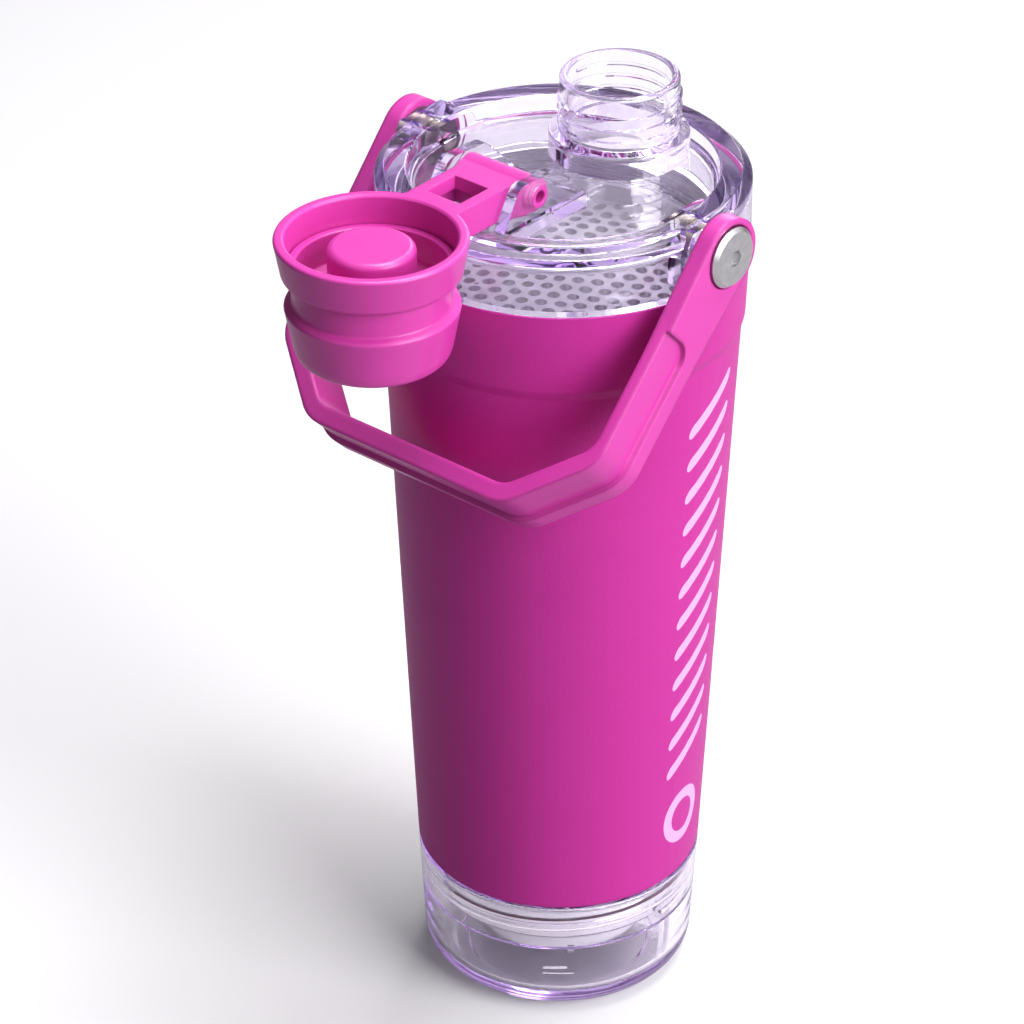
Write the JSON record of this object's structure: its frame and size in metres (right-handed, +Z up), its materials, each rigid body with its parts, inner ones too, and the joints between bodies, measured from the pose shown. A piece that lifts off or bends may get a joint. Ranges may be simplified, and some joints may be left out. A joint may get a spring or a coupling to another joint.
{
  "type": "protein shaker bottle",
  "caption": "Tapered double-wall steel shaker with a clear screw lid, offset spout, captive flip cap on an arm, bail handle and twist-off storage cup.",
  "frame": {"origin": "centre of the storage cup's underside, on the bottle's axis", "axes": "+Z up the bottle's axis, +X along the handle's pivots, +Y towards the spout; the open cap and the resting handle are on -Y"},
  "size_m": [0.1028, 0.1339, 0.2423],
  "materials": {
    "shell_paint": "fine speckled powder coat, satin",
    "steel": "spun and brushed",
    "clear_plastic": "polished clear plastic with a faint violet cast",
    "silicone": "translucent soft silicone",
    "grid_plastic": "translucent moulded plastic",
    "insert_metal": "turned and grooved",
    "bolt_steel": "turned stainless steel, satin face",
    "washer_plastic": "natural acetal",
    "cap_plastic": "satin moulded plastic",
    "handle_plastic": "satin moulded plastic"
  },
  "bodies": {
    "bottle": {"outer_shell": "shell_paint", "inner_liner": "steel", "base_tail": "steel", "vacuum_cap": "steel"},
    "lid_seal": {"lid_seal": "silicone"},
    "lid": {"lid": "clear_plastic", "mixing_grid": "grid_plastic", "insert_left": "insert_metal", "insert_right": "insert_metal", "bolt_left": "bolt_steel", "bolt_right": "bolt_steel", "washer_left": "washer_plastic", "washer_right": "washer_plastic"},
    "handle": {"handle": "handle_plastic"},
    "cap_arm": {"cap_arm": "cap_plastic"},
    "cap_seal": {"cap_seal": "silicone"},
    "spout_cap": {"spout_cap": "cap_plastic", "cap_plug": "cap_plastic"},
    "storage_seal": {"storage_seal": "silicone"},
    "storage_cup": {"storage_cup": "clear_plastic"}
  },
  "joints": [
    {"name": "lid_lift", "type": "slide", "parent": "bottle", "child": "lid_seal", "axis": [0, 0, 1], "range_m": [0, 0.012]},
    {"name": "lid_turn", "type": "hinge", "parent": "lid_seal", "child": "lid", "pos_m": [0, 0, 0.2], "axis": [0, 0, 1], "range_deg": [0, 1080]},
    {"name": "handle_swing", "type": "hinge", "parent": "lid", "child": "handle", "pos_m": [0, 0, 0.219], "axis": [-1, 0, 0], "range_deg": [0, 22]},
    {"name": "cap_hinge", "type": "hinge", "parent": "lid", "child": "cap_arm", "pos_m": [0, -0.0232, 0.231], "axis": [-1, 0, 0], "range_deg": [0, 180]},
    {"name": "cap_feed", "type": "slide", "parent": "cap_arm", "child": "cap_seal", "axis": [0, 0, 1], "range_m": [0, 0.006]},
    {"name": "cap_turn", "type": "hinge", "parent": "cap_seal", "child": "spout_cap", "pos_m": [0, -0.0672, 0.2], "axis": [0, 0, 1], "range_deg": [0, 720]},
    {"name": "cup_drop", "type": "slide", "parent": "bottle", "child": "storage_seal", "axis": [0, 0, -1], "range_m": [0, 0.008]},
    {"name": "cup_turn", "type": "hinge", "parent": "storage_seal", "child": "storage_cup", "pos_m": [0, 0, 0.01], "axis": [0, 0, -1], "range_deg": [0, 720]}
  ],
  "couplings": [
    {"joint": "lid_lift", "follows": "lid_turn", "m_per_rad": 0.00063662},
    {"joint": "cap_feed", "follows": "cap_turn", "m_per_rad": 0.00047746},
    {"joint": "cup_drop", "follows": "cup_turn", "m_per_rad": 0.00063662}
  ]
}
